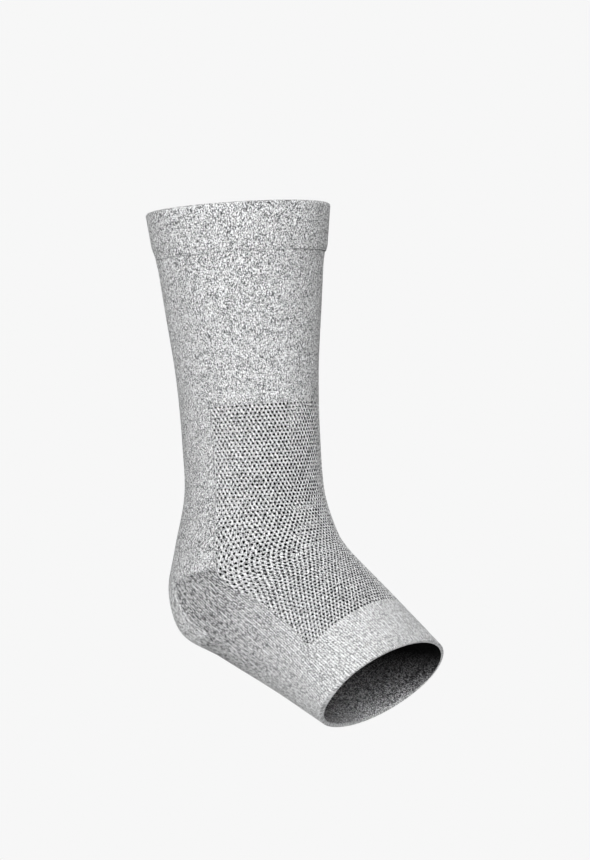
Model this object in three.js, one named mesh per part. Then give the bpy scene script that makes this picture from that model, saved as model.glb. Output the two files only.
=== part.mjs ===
import * as THREE from 'three';

// Ankle sleeve: an open knitted tube that covers the lower leg, the ankle and the heel
// and leaves the toes bare. It is built in the shape it takes when it is worn, with the
// foot pointed down. The origin is the middle of the ankle, +Z runs up to the top rim,
// the toes point to -Y and the wearer's left is +X.

// Leg sizes, in millimetres and degrees.
const SHAFT_HEIGHT = 176;
const LEG_LEAN = 4.2;
const TOP_DEPTH = 100;
const TOP_WIDTH = 95;
const ANKLE_DEPTH = 82;
const ANKLE_WIDTH = 64;

// Heel and foot sizes. Reach is measured forward or back from the ankle's middle, drop
// below it, and the tilt is that of the toe opening from level.
const HEEL_REACH = 55;
const HEEL_WIDTH = 67;
const TOE_REACH = 109;
const TOE_DROP = 101;
const TOE_DEPTH = 68;
const TOE_WIDTH = 92;
const TOE_TILT = 46;

// Lengths of the pieces along the sleeve, and the angles round it, from the shin, at
// which the mesh panel and the heel cup end. Below the heel seam the panel narrows to
// its foot angle, over the length of its narrowing.
const CUFF_LENGTH = 27;
const PANEL_DISTANCE = 108;
const PANEL_ANGLE = 90;
const PANEL_FOOT_ANGLE = 79;
const PANEL_NARROWING = 28;
const PANEL_TOE_MARGIN = 30;
const HEEL_SEAM_DISTANCE = 196;
const HEEL_CUP_LENGTH = 30;
const HEEL_CUP_ANGLE = 126;
const HEM_LENGTH = 6;

// Thickness of each knit, how far the two thick bands stand out from the leg's surface,
// and the gap left between pieces.
const CUFF_WALL = 3.2;
const CUFF_RISE = 2;
const LEG_WALL = 1.6;
const PANEL_WALL = 1.4;
const HEEL_WALL = 2.2;
const FOOT_WALL = 1.6;
const HEM_WALL = 2.4;
const HEM_RISE = 0.4;
const SEAM_GAP = 0.3;

// Largest facets along the sleeve and round it.
const ROW_STEP = 6.5;
const TURN_STEP = 10;

// Sections of the leg from the top rim down. Height is a share of the shaft's height,
// depth and width are shares of the way from the ankle's size to the top rim's.
const SHAFT_SECTIONS = [
  { name: 'rim', height: 1, depth: 1, width: 1 },
  { name: 'cuff', height: 0.85, depth: 0.63, width: 0.79 },
  { name: 'calf', height: 0.685, depth: 0.33, width: 0.55 },
  { name: 'shin', height: 0.485, depth: 0.06, width: 0.18 },
  { name: 'narrow', height: 0.28, depth: 0, width: 0 },
  { name: 'crook', height: 0.11, depth: 0.08, width: 0.05 },
];

// Sections of the heel and foot from the crook of the ankle to the toe opening. Instep is
// a share of the line from the crook to the upper toe edge, and hollow is how far the
// instep lies behind that line, as a share of its length. Sole is a share of the way from
// the back of the heel to the lower toe edge, and drop a share of that edge's drop. Width
// is a share of the way from the heel's to the toe opening's. Square is how far the
// underside is squared off, from 0 for round to 1 for a box.
const FOOT_SECTIONS = [
  { name: 'upper_heel', instep: 0.165, hollow: 0.055, sole: 0.035, drop: 0.135, width: 0, square: 0 },
  { name: 'heel_back', instep: 0.25, hollow: 0.066, sole: 0, drop: 0.37, width: 0, square: 0.05 },
  { name: 'heel_base', instep: 0.33, hollow: 0.062, sole: 0.075, drop: 0.575, width: 0.04, square: 0.1 },
  { name: 'arch', instep: 0.42, hollow: 0.053, sole: 0.34, drop: 0.695, width: 0.1, square: 0.15 },
  { name: 'midfoot', instep: 0.63, hollow: 0.026, sole: 0.69, drop: 0.848, width: 0.28, square: 0.15 },
  { name: 'ball', instep: 0.87, hollow: 0.005, sole: 0.91, drop: 0.955, width: 0.68, square: 0.12 },
  { name: 'toe', instep: 1, hollow: 0, sole: 1, drop: 1, width: 1, square: 0.1 },
];

// How a free edge of cloth is rounded: distance in from the edge and thickness there, as
// shares of half the wall and of the whole wall.
const ROUNDED_EDGE = [
  { inset: 0, fullness: 0.5 },
  { inset: 0.35, fullness: 0.85 },
  { inset: 1, fullness: 1 },
];

const HALF_TURN = 180;
const FULL_TURN = 360;
const PROBE = 0.01;

const radians = THREE.MathUtils.degToRad;
const mix = THREE.MathUtils.lerp;

// Side view directions and points are Vector2: x runs forward to the toes, y runs up.
function direction(degrees) {
  return new THREE.Vector2(Math.cos(radians(degrees)), Math.sin(radians(degrees)));
}

function shaftSection({ height, depth, width }) {
  const centre = new THREE.Vector2(-Math.tan(radians(LEG_LEAN)), 1).multiplyScalar(height * SHAFT_HEIGHT);
  const reach = direction(LEG_LEAN).multiplyScalar(mix(ANKLE_DEPTH, TOP_DEPTH, depth) / 2);
  return {
    front: centre.clone().add(reach),
    back: centre.clone().sub(reach),
    halfWidth: mix(ANKLE_WIDTH, TOP_WIDTH, width) / 2,
    square: 0,
  };
}

function footSection({ instep, hollow, sole, drop, width, square }, crook) {
  const toeSole = new THREE.Vector2(TOE_REACH, 0).sub(direction(TOE_TILT).multiplyScalar(TOE_DEPTH));
  toeSole.y = -TOE_DROP;
  const toeInstep = toeSole.clone().add(direction(TOE_TILT).multiplyScalar(TOE_DEPTH));
  const line = toeInstep.clone().sub(crook);
  const behind = new THREE.Vector2(line.y, -line.x);
  return {
    front: crook.clone().addScaledVector(line, instep).addScaledVector(behind, hollow),
    back: new THREE.Vector2(mix(-HEEL_REACH, toeSole.x, sole), -TOE_DROP * drop),
    halfWidth: mix(HEEL_WIDTH, TOE_WIDTH, width) / 2,
    square,
  };
}

// All sections in order, each with its distance along the sleeve from the top rim.
function sleeveSections() {
  const shaft = SHAFT_SECTIONS.map(shaftSection);
  const crook = shaft[shaft.length - 1].front;
  const sections = [...shaft, ...FOOT_SECTIONS.map((row) => footSection(row, crook))];
  let distance = 0;
  return sections.map((section, index) => {
    const before = sections[Math.max(index - 1, 0)];
    distance += (section.front.distanceTo(before.front) + section.back.distanceTo(before.back)) / 2;
    return { ...section, distance };
  });
}

const SECTIONS = sleeveSections();
const SLEEVE_LENGTH = SECTIONS[SECTIONS.length - 1].distance;

const MEASURES = {
  frontForward: (section) => section.front.x,
  frontUp: (section) => section.front.y,
  backForward: (section) => section.back.x,
  backUp: (section) => section.back.y,
  halfWidth: (section) => section.halfWidth,
  square: (section) => section.square,
};

// Slope of a measure at a section, from the parabola through it and its neighbours.
function slopeAt(measure, index) {
  const last = SECTIONS.length - 1;
  const chord = (from, to) =>
    (measure(SECTIONS[to]) - measure(SECTIONS[from])) / (SECTIONS[to].distance - SECTIONS[from].distance);
  if (index === 0) return chord(0, 1);
  if (index === last) return chord(last - 1, last);
  const before = SECTIONS[index].distance - SECTIONS[index - 1].distance;
  const after = SECTIONS[index + 1].distance - SECTIONS[index].distance;
  return (chord(index - 1, index) * after + chord(index, index + 1) * before) / (before + after);
}

// The section at any distance along the sleeve, on a smooth curve through the table.
function sectionAt(distance) {
  const found = SECTIONS.findIndex((section) => section.distance > distance) - 1;
  const index = found < 0 ? SECTIONS.length - 2 : found;
  const span = SECTIONS[index + 1].distance - SECTIONS[index].distance;
  const t = (distance - SECTIONS[index].distance) / span;
  const section = {};
  for (const [name, measure] of Object.entries(MEASURES)) {
    const start = measure(SECTIONS[index]);
    const end = measure(SECTIONS[index + 1]);
    const startSlope = slopeAt(measure, index) * span;
    const endSlope = slopeAt(measure, index + 1) * span;
    const bend = 3 * (end - start) - 2 * startSlope - endSlope;
    const twist = startSlope + endSlope - 2 * (end - start);
    section[name] = start + t * (startSlope + t * (bend + t * twist));
  }
  return section;
}

// A point of the sleeve's outer surface, at a distance from the rim and an angle round
// the sleeve from the shin, positive towards the wearer's left.
function surfacePoint(distance, angle) {
  const section = sectionAt(distance);
  const cosine = Math.cos(radians(angle));
  const sine = Math.sin(radians(angle));
  const power = cosine < 0 ? 1 - section.square : 1;
  const alongDepth = Math.sign(cosine) * Math.abs(cosine) ** power;
  const alongWidth = Math.sign(sine) * Math.abs(sine) ** power;
  const share = (1 + alongDepth) / 2;
  return new THREE.Vector3(
    section.halfWidth * alongWidth,
    -mix(section.backForward, section.frontForward, share),
    mix(section.backUp, section.frontUp, share),
  );
}

function alongSleeve(distance, angle) {
  const start = surfacePoint(distance - PROBE, angle);
  return surfacePoint(distance + PROBE, angle).sub(start).divideScalar(2 * PROBE);
}

function roundSleeve(distance, angle) {
  const start = surfacePoint(distance, angle - PROBE);
  return surfacePoint(distance, angle + PROBE).sub(start).divideScalar(2 * PROBE);
}

function outward(distance, angle) {
  return roundSleeve(distance, angle).cross(alongSleeve(distance, angle)).negate().normalize();
}

// Grid columns are counted as if the mesh panel kept its width. This gives the angle they
// really lie at, which follows the panel's edge as it narrows over the instep.
function settledAngle(distance, angle) {
  const signed = angle > HALF_TURN ? angle - FULL_TURN : angle;
  const turn = Math.abs(signed);
  const narrowed = THREE.MathUtils.smoothstep((distance - HEEL_SEAM_DISTANCE) / PANEL_NARROWING, 0, 1);
  const edge = mix(PANEL_ANGLE, PANEL_FOOT_ANGLE, narrowed);
  const beyond = (turn - PANEL_ANGLE) / (HALF_TURN - PANEL_ANGLE);
  const settled = turn < PANEL_ANGLE ? (turn / PANEL_ANGLE) * edge : mix(edge, HALF_TURN, beyond);
  return Math.sign(signed) * settled;
}

// A grid line is a place, along the sleeve or round it, and the side it is kept off by
// half the seam gap: 1 for further on, -1 for further back, 0 for on the line itself.
function gridLine(place, side = 0) {
  return { place, side };
}

// Grid lines from each given line to the next, no further apart than the step.
function spread(lines, step) {
  const result = [lines[0]];
  for (let index = 1; index < lines.length; index += 1) {
    const start = lines[index - 1].place;
    const end = lines[index].place;
    const parts = Math.max(1, Math.ceil((end - start) / step));
    for (let part = 1; part < parts; part += 1) {
      result.push(gridLine(mix(start, end, part / parts)));
    }
    result.push(lines[index]);
  }
  return result;
}

// Rows of a free edge, from the edge inwards or, with a direction of -1, up to the edge.
function edgeRows(edge, wall, inwards) {
  const rows = ROUNDED_EDGE.map(({ inset, fullness }) => ({
    ...gridLine(edge + (inwards * inset * wall) / 2),
    fullness,
  }));
  return inwards > 0 ? rows : rows.reverse();
}

// One piece of cloth: a wall laid on the sleeve's surface over a grid of rows along the
// sleeve and columns round it. Cells that the piece leaves open are told by skips.
function knitSolid({ rows, columns, wall, rise = 0, closed, skips = () => false }) {
  const positions = [];
  for (const row of rows) {
    for (const column of columns) {
      const place = settledAngle(row.place, column.place);
      const rowShift = (row.side * SEAM_GAP) / 2 / alongSleeve(row.place, place).length();
      const distance = row.place + rowShift;
      const columnShift = (column.side * SEAM_GAP) / 2 / roundSleeve(distance, place).length();
      const angle = settledAngle(distance, column.place) + columnShift;
      const point = surfacePoint(distance, angle);
      const normal = outward(distance, angle);
      const half = ((row.fullness ?? 1) * wall) / 2;
      const middle = rise - wall / 2;
      positions.push(...point.clone().addScaledVector(normal, middle + half).toArray());
      positions.push(...point.clone().addScaledVector(normal, middle - half).toArray());
    }
  }

  const cellColumns = closed ? columns.length : columns.length - 1;
  const outer = (row, column) => 2 * (row * columns.length + (column % columns.length));
  const inner = (row, column) => outer(row, column) + 1;
  const filled = (row, column) => {
    const beside = closed ? (column + cellColumns) % cellColumns : column;
    if (row < 0 || row >= rows.length - 1 || beside < 0 || beside >= cellColumns) return false;
    const last = columns[(beside + 1) % columns.length].place;
    const turn = columns[beside].place;
    const middle = (turn + (last < turn ? last + FULL_TURN : last)) / 2;
    return !skips((rows[row].place + rows[row + 1].place) / 2, middle);
  };

  const indices = [];
  const face = (a, b, c, d) => indices.push(a, b, c, a, c, d);
  for (let row = 0; row < rows.length - 1; row += 1) {
    for (let column = 0; column < cellColumns; column += 1) {
      if (!filled(row, column)) continue;
      const [above, below, next] = [row, row + 1, column + 1];
      face(outer(above, column), outer(below, column), outer(below, next), outer(above, next));
      face(inner(above, column), inner(above, next), inner(below, next), inner(below, column));
      if (!filled(row - 1, column)) {
        face(outer(above, column), outer(above, next), inner(above, next), inner(above, column));
      }
      if (!filled(row + 1, column)) {
        face(outer(below, next), outer(below, column), inner(below, column), inner(below, next));
      }
      if (!filled(row, column - 1)) {
        face(outer(below, column), outer(above, column), inner(above, column), inner(below, column));
      }
      if (!filled(row, next)) {
        face(outer(above, next), outer(below, next), inner(below, next), inner(above, next));
      }
    }
  }

  const used = [...new Set(indices)].sort((a, b) => a - b);
  const renumbered = new Map(used.map((old, index) => [old, index]));
  const geometry = new THREE.BufferGeometry();
  const kept = used.flatMap((old) => positions.slice(3 * old, 3 * old + 3));
  geometry.setAttribute('position', new THREE.Float32BufferAttribute(kept, 3));
  geometry.setIndex(indices.map((old) => renumbered.get(old)));
  geometry.computeVertexNormals();
  return geometry;
}

// Columns all the way round, with given lines among them.
function ringColumns(lines) {
  return spread([...lines, gridLine(lines[0].place + FULL_TURN)], TURN_STEP).slice(0, -1);
}

// Places along the sleeve where one piece ends and the next begins. Pieces that share a
// seam have their rows at the same places, so that the seam stays even.
const PANEL_END = SLEEVE_LENGTH - PANEL_TOE_MARGIN;
const HEEL_CUP_END = HEEL_SEAM_DISTANCE + HEEL_CUP_LENGTH;
const HEM_START = SLEEVE_LENGTH - HEM_LENGTH;
const PANEL_FAR_ANGLE = FULL_TURN - PANEL_ANGLE;
const HEEL_CUP_FAR_ANGLE = FULL_TURN - HEEL_CUP_ANGLE;

// The doubled band at the top, with both of its edges rounded.
function cuffBand() {
  const rows = [
    ...edgeRows(0, CUFF_WALL, 1),
    ...edgeRows(CUFF_LENGTH - SEAM_GAP, CUFF_WALL, -1),
  ];
  return knitSolid({
    rows: spread(rows, ROW_STEP),
    columns: ringColumns([gridLine(0)]),
    wall: CUFF_WALL,
    rise: CUFF_RISE,
    closed: true,
  });
}

// The plain knit of the leg: all round down to the mesh panel, then the back half alone,
// down to the heel seam.
function legTube() {
  const rows = [
    gridLine(CUFF_LENGTH),
    gridLine(PANEL_DISTANCE, -1),
    gridLine(HEEL_SEAM_DISTANCE, -1),
  ];
  return knitSolid({
    rows: spread(rows, ROW_STEP),
    columns: ringColumns([gridLine(PANEL_ANGLE, 1), gridLine(PANEL_FAR_ANGLE, -1)]),
    wall: LEG_WALL,
    closed: true,
    skips: (distance, angle) => distance > PANEL_DISTANCE && angle > PANEL_FAR_ANGLE,
  });
}

// The openwork panel over the shin, the front of the ankle and the instep.
function frontMeshPanel() {
  const rows = [
    gridLine(PANEL_DISTANCE, 1),
    gridLine(HEEL_SEAM_DISTANCE),
    gridLine(HEEL_CUP_END),
    gridLine(PANEL_END, -1),
  ];
  return knitSolid({
    rows: spread(rows, ROW_STEP),
    columns: spread([gridLine(-PANEL_ANGLE, 1), gridLine(PANEL_ANGLE, -1)], TURN_STEP),
    wall: PANEL_WALL,
    closed: false,
  });
}

// The thick smooth pocket that takes the heel.
function heelCup() {
  const rows = [gridLine(HEEL_SEAM_DISTANCE, 1), gridLine(HEEL_CUP_END, -1)];
  return knitSolid({
    rows: spread(rows, ROW_STEP),
    columns: spread([gridLine(HEEL_CUP_ANGLE, 1), gridLine(HEEL_CUP_FAR_ANGLE, -1)], TURN_STEP),
    wall: HEEL_WALL,
    closed: false,
  });
}

// The ribbed knit under the foot: the sides and the sole, round the heel cup, and all
// round in front of the mesh panel.
function footTube() {
  const rows = [
    gridLine(HEEL_SEAM_DISTANCE, 1),
    gridLine(HEEL_CUP_END, 1),
    gridLine(PANEL_END, 1),
    gridLine(HEM_START, -1),
  ];
  const columns = [
    gridLine(PANEL_ANGLE, 1),
    gridLine(HEEL_CUP_ANGLE, -1),
    gridLine(HEEL_CUP_FAR_ANGLE, 1),
    gridLine(PANEL_FAR_ANGLE, -1),
  ];
  const besideHeel = (angle) => angle > HEEL_CUP_ANGLE && angle < HEEL_CUP_FAR_ANGLE;
  return knitSolid({
    rows: spread(rows, ROW_STEP),
    columns: ringColumns(columns),
    wall: FOOT_WALL,
    closed: true,
    skips: (distance, angle) =>
      (distance < PANEL_END && angle > PANEL_FAR_ANGLE) || (distance < HEEL_CUP_END && besideHeel(angle)),
  });
}

// The bound edge of the toe opening.
function toeHem() {
  const rows = [gridLine(HEM_START, 1), ...edgeRows(SLEEVE_LENGTH, HEM_WALL, -1)];
  return knitSolid({
    rows: spread(rows, ROW_STEP),
    columns: ringColumns([gridLine(0)]),
    wall: HEM_WALL,
    rise: HEM_RISE,
    closed: true,
  });
}

const heatherGrey = new THREE.MeshStandardMaterial({ color: 0xb9bbbc, roughness: 0.95, metalness: 0 });
const meshGrey = new THREE.MeshStandardMaterial({ color: 0xa9abac, roughness: 0.95, metalness: 0 });
const heelGrey = new THREE.MeshStandardMaterial({ color: 0xb2b5b6, roughness: 0.95, metalness: 0 });
const hemGrey = new THREE.MeshStandardMaterial({ color: 0xc4c6c7, roughness: 0.95, metalness: 0 });

function piece(name, geometry, material) {
  const mesh = new THREE.Mesh(geometry, material);
  mesh.name = name;
  return mesh;
}

const ankleBrace = new THREE.Group();
ankleBrace.add(
  piece('cuff_band', cuffBand(), heatherGrey),
  piece('leg_tube', legTube(), heatherGrey),
  piece('front_mesh_panel', frontMeshPanel(), meshGrey),
  piece('heel_cup', heelCup(), heelGrey),
  piece('foot_tube', footTube(), heatherGrey),
  piece('toe_hem', toeHem(), hemGrey),
);

export default ankleBrace;
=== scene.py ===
"""A worn, knitted ankle sleeve: the cloth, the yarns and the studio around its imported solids.

Lengths are in metres and angles in degrees. The origin is the middle of the ankle, +Z runs
up the leg, the toes point to -Y and the wearer's left is +X. A place on the sleeve is told
by its distance along it from the top rim and by its turn round it from the shin.
"""

import logging
import math
from collections.abc import Iterator
from contextlib import contextmanager
from dataclasses import dataclass, field
from enum import Enum
from functools import cached_property

import bmesh
import bpy
import numpy as np
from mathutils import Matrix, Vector


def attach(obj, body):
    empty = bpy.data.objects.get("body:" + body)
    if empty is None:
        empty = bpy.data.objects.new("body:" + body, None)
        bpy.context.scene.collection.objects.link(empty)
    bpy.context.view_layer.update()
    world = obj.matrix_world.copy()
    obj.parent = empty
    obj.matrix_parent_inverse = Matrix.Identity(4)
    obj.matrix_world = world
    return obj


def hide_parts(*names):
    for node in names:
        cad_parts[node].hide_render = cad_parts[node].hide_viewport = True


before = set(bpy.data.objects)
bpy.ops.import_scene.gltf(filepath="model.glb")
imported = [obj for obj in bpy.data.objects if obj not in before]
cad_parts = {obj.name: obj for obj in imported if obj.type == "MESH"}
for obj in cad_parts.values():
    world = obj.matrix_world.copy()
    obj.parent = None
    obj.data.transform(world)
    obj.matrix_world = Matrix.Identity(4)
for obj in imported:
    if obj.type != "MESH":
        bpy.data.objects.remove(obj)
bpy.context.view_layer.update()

LOG = logging.getLogger("ankle_sleeve")
BODY = "root"

HALF_TURN = 180.0
FULL_TURN = 360.0
WALES_ROUND = 200
FOOT_WALES_ROUND = 184
COURSE_HEIGHT = 0.00103
FLAT_GIRTH = 0.24
GIRTH_POINTS = 181
PROBE_ANGLE = 0.01
PROBE_DISTANCE = 0.00001
GRID_SLACK = 0.000001
MERGE_DISTANCE = 0.00001
LINING_MARGIN = 0.0003
HOLE_SEED = 7

Array = np.ndarray
Socket = bpy.types.NodeSocket
Colour = tuple[float, float, float]


def mix(start: Array | float, end: Array | float, share: Array | float) -> Array | float:
    """Returns the value at a share of the way from start to end."""
    return start + (end - start) * share


def smooth_step(share: Array) -> Array:
    """Returns a share that eases in and out, held between 0 and 1."""
    held = np.clip(share, 0.0, 1.0)
    return held * held * (3.0 - 2.0 * held)


def wrapped(turn: Array) -> Array:
    """Returns turns brought between half a turn each way."""
    return (turn + HALF_TURN) % FULL_TURN - HALF_TURN


def turn_at(across: Array | float) -> Array | float:
    """Returns the turns of places across the flat cloth."""
    return across / FLAT_GIRTH * FULL_TURN


def flat_width(turn: Array | float) -> Array | float:
    """Returns the places of turns across the flat cloth."""
    return turn / FULL_TURN * FLAT_GIRTH


def spread(lines: list[float], step: float) -> Array:
    """Places grid lines on each given line and evenly between them.

    Args:
        lines: Places that must have a grid line, in order.
        step: The largest space left between two grid lines.

    Returns:
        All the grid lines, in order.
    """
    places = [np.array([lines[0]])]
    for start, end in zip(lines, lines[1:]):
        parts = max(1, math.ceil((end - start) / step - GRID_SLACK))
        places.append(start + (end - start) * np.arange(1, parts + 1) / parts)
    return np.concatenate(places)


@dataclass(frozen=True)
class LegSection:
    """One section of the leg, as shares of the way from the ankle's size to the rim's."""

    height: float
    depth: float
    width: float


@dataclass(frozen=True)
class FootSection:
    """One section of the heel or foot, as shares of the foot's sizes."""

    instep: float
    hollow: float
    sole: float
    drop: float
    width: float
    square: float


@dataclass(frozen=True)
class SleeveForm:
    """The shape that the sleeve takes when it is worn, and where its pieces meet."""

    shaft_height: float = 0.176
    leg_lean: float = 4.2
    top_depth: float = 0.100
    top_width: float = 0.095
    ankle_depth: float = 0.082
    ankle_width: float = 0.064
    heel_reach: float = 0.055
    heel_width: float = 0.067
    toe_reach: float = 0.109
    toe_drop: float = 0.101
    toe_depth: float = 0.068
    toe_width: float = 0.092
    toe_tilt: float = 46.0
    cuff_length: float = 0.027
    panel_distance: float = 0.108
    panel_angle: float = 90.0
    panel_foot_angle: float = 79.0
    panel_narrowing: float = 0.028
    panel_toe_margin: float = 0.030
    heel_seam: float = 0.196
    heel_cup_length: float = 0.030
    heel_cup_angle: float = 126.0
    hem_length: float = 0.006
    foot_axis: tuple[float, float] = (0.053, -0.056)
    foot_axis_dip: float = 30.0
    leg_sections: tuple[LegSection, ...] = (
        LegSection(height=1.0, depth=1.0, width=1.0),
        LegSection(height=0.85, depth=0.63, width=0.79),
        LegSection(height=0.685, depth=0.33, width=0.55),
        LegSection(height=0.485, depth=0.06, width=0.18),
        LegSection(height=0.28, depth=0.0, width=0.0),
        LegSection(height=0.11, depth=0.08, width=0.05),
    )
    foot_sections: tuple[FootSection, ...] = (
        FootSection(instep=0.165, hollow=0.055, sole=0.035, drop=0.135, width=0.0, square=0.0),
        FootSection(instep=0.25, hollow=0.066, sole=0.0, drop=0.37, width=0.0, square=0.05),
        FootSection(instep=0.33, hollow=0.062, sole=0.075, drop=0.575, width=0.04, square=0.1),
        FootSection(instep=0.42, hollow=0.053, sole=0.34, drop=0.695, width=0.1, square=0.15),
        FootSection(instep=0.63, hollow=0.026, sole=0.69, drop=0.848, width=0.28, square=0.15),
        FootSection(instep=0.87, hollow=0.005, sole=0.91, drop=0.955, width=0.66, square=0.05),
        FootSection(instep=1.0, hollow=0.0, sole=1.012, drop=1.0, width=0.94, square=0.0),
    )

    @cached_property
    def sections(self) -> Array:
        """Every section as front x, front y, back x, back y, half width and squareness."""
        rows = [self._leg_row(section) for section in self.leg_sections]
        crook = np.array(rows[-1][:2])
        rows += [self._foot_row(section, crook) for section in self.foot_sections]
        return np.array(rows)

    @cached_property
    def distances(self) -> Array:
        """The distance of each section from the rim, half way between shin and back."""
        steps = np.diff(self.sections, axis=0)
        fronts = np.hypot(steps[:, 0], steps[:, 1])
        backs = np.hypot(steps[:, 2], steps[:, 3])
        return np.concatenate([[0.0], np.cumsum((fronts + backs) / 2)])

    @cached_property
    def slopes(self) -> Array:
        """The slope of each measure at each section, for a smooth curve through them."""
        spans = np.diff(self.distances)[:, None]
        chords = np.diff(self.sections, axis=0) / spans
        inner = (chords[:-1] * spans[1:] + chords[1:] * spans[:-1]) / (spans[1:] + spans[:-1])
        return np.vstack([chords[:1], inner, chords[-1:]])

    @property
    def length(self) -> float:
        """The sleeve's length from the top rim to the toe opening."""
        return float(self.distances[-1])

    @property
    def panel_end(self) -> float:
        """The distance at which the mesh panel ends."""
        return self.length - self.panel_toe_margin

    @property
    def heel_cup_end(self) -> float:
        """The distance at which the heel cup ends."""
        return self.heel_seam + self.heel_cup_length

    @property
    def hem_start(self) -> float:
        """The distance at which the toe hem begins."""
        return self.length - self.hem_length

    def _leg_row(self, section: LegSection) -> list[float]:
        """Returns a leg section's measures.

        Args:
            section: The section, in shares.

        Returns:
            Front x and y, back x and y, half width and squareness.
        """
        lean = math.radians(self.leg_lean)
        rise = section.height * self.shaft_height
        centre = (-math.tan(lean) * rise, rise)
        reach = mix(self.ankle_depth, self.top_depth, section.depth) / 2
        ahead = (math.cos(lean) * reach, math.sin(lean) * reach)
        half_width = mix(self.ankle_width, self.top_width, section.width) / 2
        front = (centre[0] + ahead[0], centre[1] + ahead[1])
        back = (centre[0] - ahead[0], centre[1] - ahead[1])
        return [*front, *back, half_width, 0.0]

    def _foot_row(self, section: FootSection, crook: Array) -> list[float]:
        """Returns a foot section's measures.

        Args:
            section: The section, in shares.
            crook: The front point of the last leg section.

        Returns:
            Front x and y, back x and y, half width and squareness.
        """
        tilt = math.radians(self.toe_tilt)
        opening = np.array([math.cos(tilt), math.sin(tilt)]) * self.toe_depth
        toe_sole = np.array([self.toe_reach - opening[0], -self.toe_drop])
        line = toe_sole + opening - crook
        behind = np.array([line[1], -line[0]])
        front = crook + line * section.instep + behind * section.hollow
        back = (mix(-self.heel_reach, toe_sole[0], section.sole), -self.toe_drop * section.drop)
        half_width = mix(self.heel_width, self.toe_width, section.width) / 2
        return [*front, *back, half_width, section.square]

    def measures(self, distance: Array) -> Array:
        """Reads the smooth curves through the sections.

        Args:
            distance: Distances from the rim.

        Returns:
            The six measures at each distance.
        """
        last = len(self.distances) - 2
        index = np.clip(np.searchsorted(self.distances, distance, side="right") - 1, 0, last)
        span = (self.distances[index + 1] - self.distances[index])[..., None]
        share = (distance - self.distances[index])[..., None] / span
        start = self.sections[index]
        end = self.sections[index + 1]
        start_slope = self.slopes[index] * span
        end_slope = self.slopes[index + 1] * span
        bend = 3 * (end - start) - 2 * start_slope - end_slope
        twist = start_slope + end_slope - 2 * (end - start)
        return start + share * (start_slope + share * (bend + share * twist))

    def surface(self, distance: Array, angle: Array) -> Array:
        """Places points on the outer surface.

        Args:
            distance: Distances from the rim.
            angle: Angles from the shin.

        Returns:
            The points.
        """
        measures = np.moveaxis(self.measures(distance), -1, 0)
        front_x, front_y, back_x, back_y, half_width, square = measures
        cosine = np.cos(np.radians(angle))
        sine = np.sin(np.radians(angle))
        power = np.where(cosine < 0, 1 - square, 1.0)
        along_depth = np.sign(cosine) * np.abs(cosine) ** power
        along_width = np.sign(sine) * np.abs(sine) ** power
        share = (1 + along_depth) / 2
        ahead = mix(back_x, front_x, share)
        up = mix(back_y, front_y, share)
        return np.stack([half_width * along_width, -ahead, up], axis=-1)

    def outward(self, distance: Array, angle: Array) -> Array:
        """Finds the surface's outward directions.

        Args:
            distance: Distances from the rim.
            angle: Angles from the shin.

        Returns:
            The directions, each one unit long.
        """
        above = self.surface(distance - PROBE_DISTANCE, angle)
        along = self.surface(distance + PROBE_DISTANCE, angle) - above
        beside = self.surface(distance, angle - PROBE_ANGLE)
        around = self.surface(distance, angle + PROBE_ANGLE) - beside
        normal = -np.cross(around, along)
        return normal / np.linalg.norm(normal, axis=-1, keepdims=True)

    def settled(self, distance: Array, turn: Array) -> Array:
        """Finds the real angle of a turn, which follows the mesh panel as it narrows.

        Args:
            distance: Distances from the rim.
            turn: Turns from the shin, counted as if the panel kept its width.

        Returns:
            The angles from the shin, between half a turn each way.
        """
        signed = wrapped(turn)
        size = np.abs(signed)
        narrowed = smooth_step((distance - self.heel_seam) / self.panel_narrowing)
        edge = mix(self.panel_angle, self.panel_foot_angle, narrowed)
        inside = size / self.panel_angle * edge
        beyond = (size - self.panel_angle) / (HALF_TURN - self.panel_angle)
        angle = np.where(size < self.panel_angle, inside, mix(edge, HALF_TURN, beyond))
        return np.sign(signed) * angle

    def foot_wales(self, turn: Array, points: Array) -> Array:
        """Counts the wales that run straight along the foot, fanned about its axis.

        Args:
            turn: Turns from the shin, which tell how many times round the count has gone.
            points: Points of the foot's surface.

        Returns:
            The counts of wales.
        """
        dip = math.radians(self.foot_axis_dip)
        ahead = -points[:, 1] - self.foot_axis[0]
        up = points[:, 2] - self.foot_axis[1]
        above = ahead * math.sin(dip) + up * math.cos(dip)
        angle = np.degrees(np.arctan2(points[:, 0], above))
        return (turn + wrapped(angle - turn)) / FULL_TURN * FOOT_WALES_ROUND

    def girth(self, distance: float) -> float:
        """Measures the outer length round the sleeve.

        Args:
            distance: The distance from the rim.

        Returns:
            The length.
        """
        angles = np.linspace(0.0, FULL_TURN, GIRTH_POINTS)
        ring = self.surface(np.full(angles.shape, distance), angles)
        return float(np.linalg.norm(np.diff(ring, axis=0), axis=1).sum())


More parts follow.
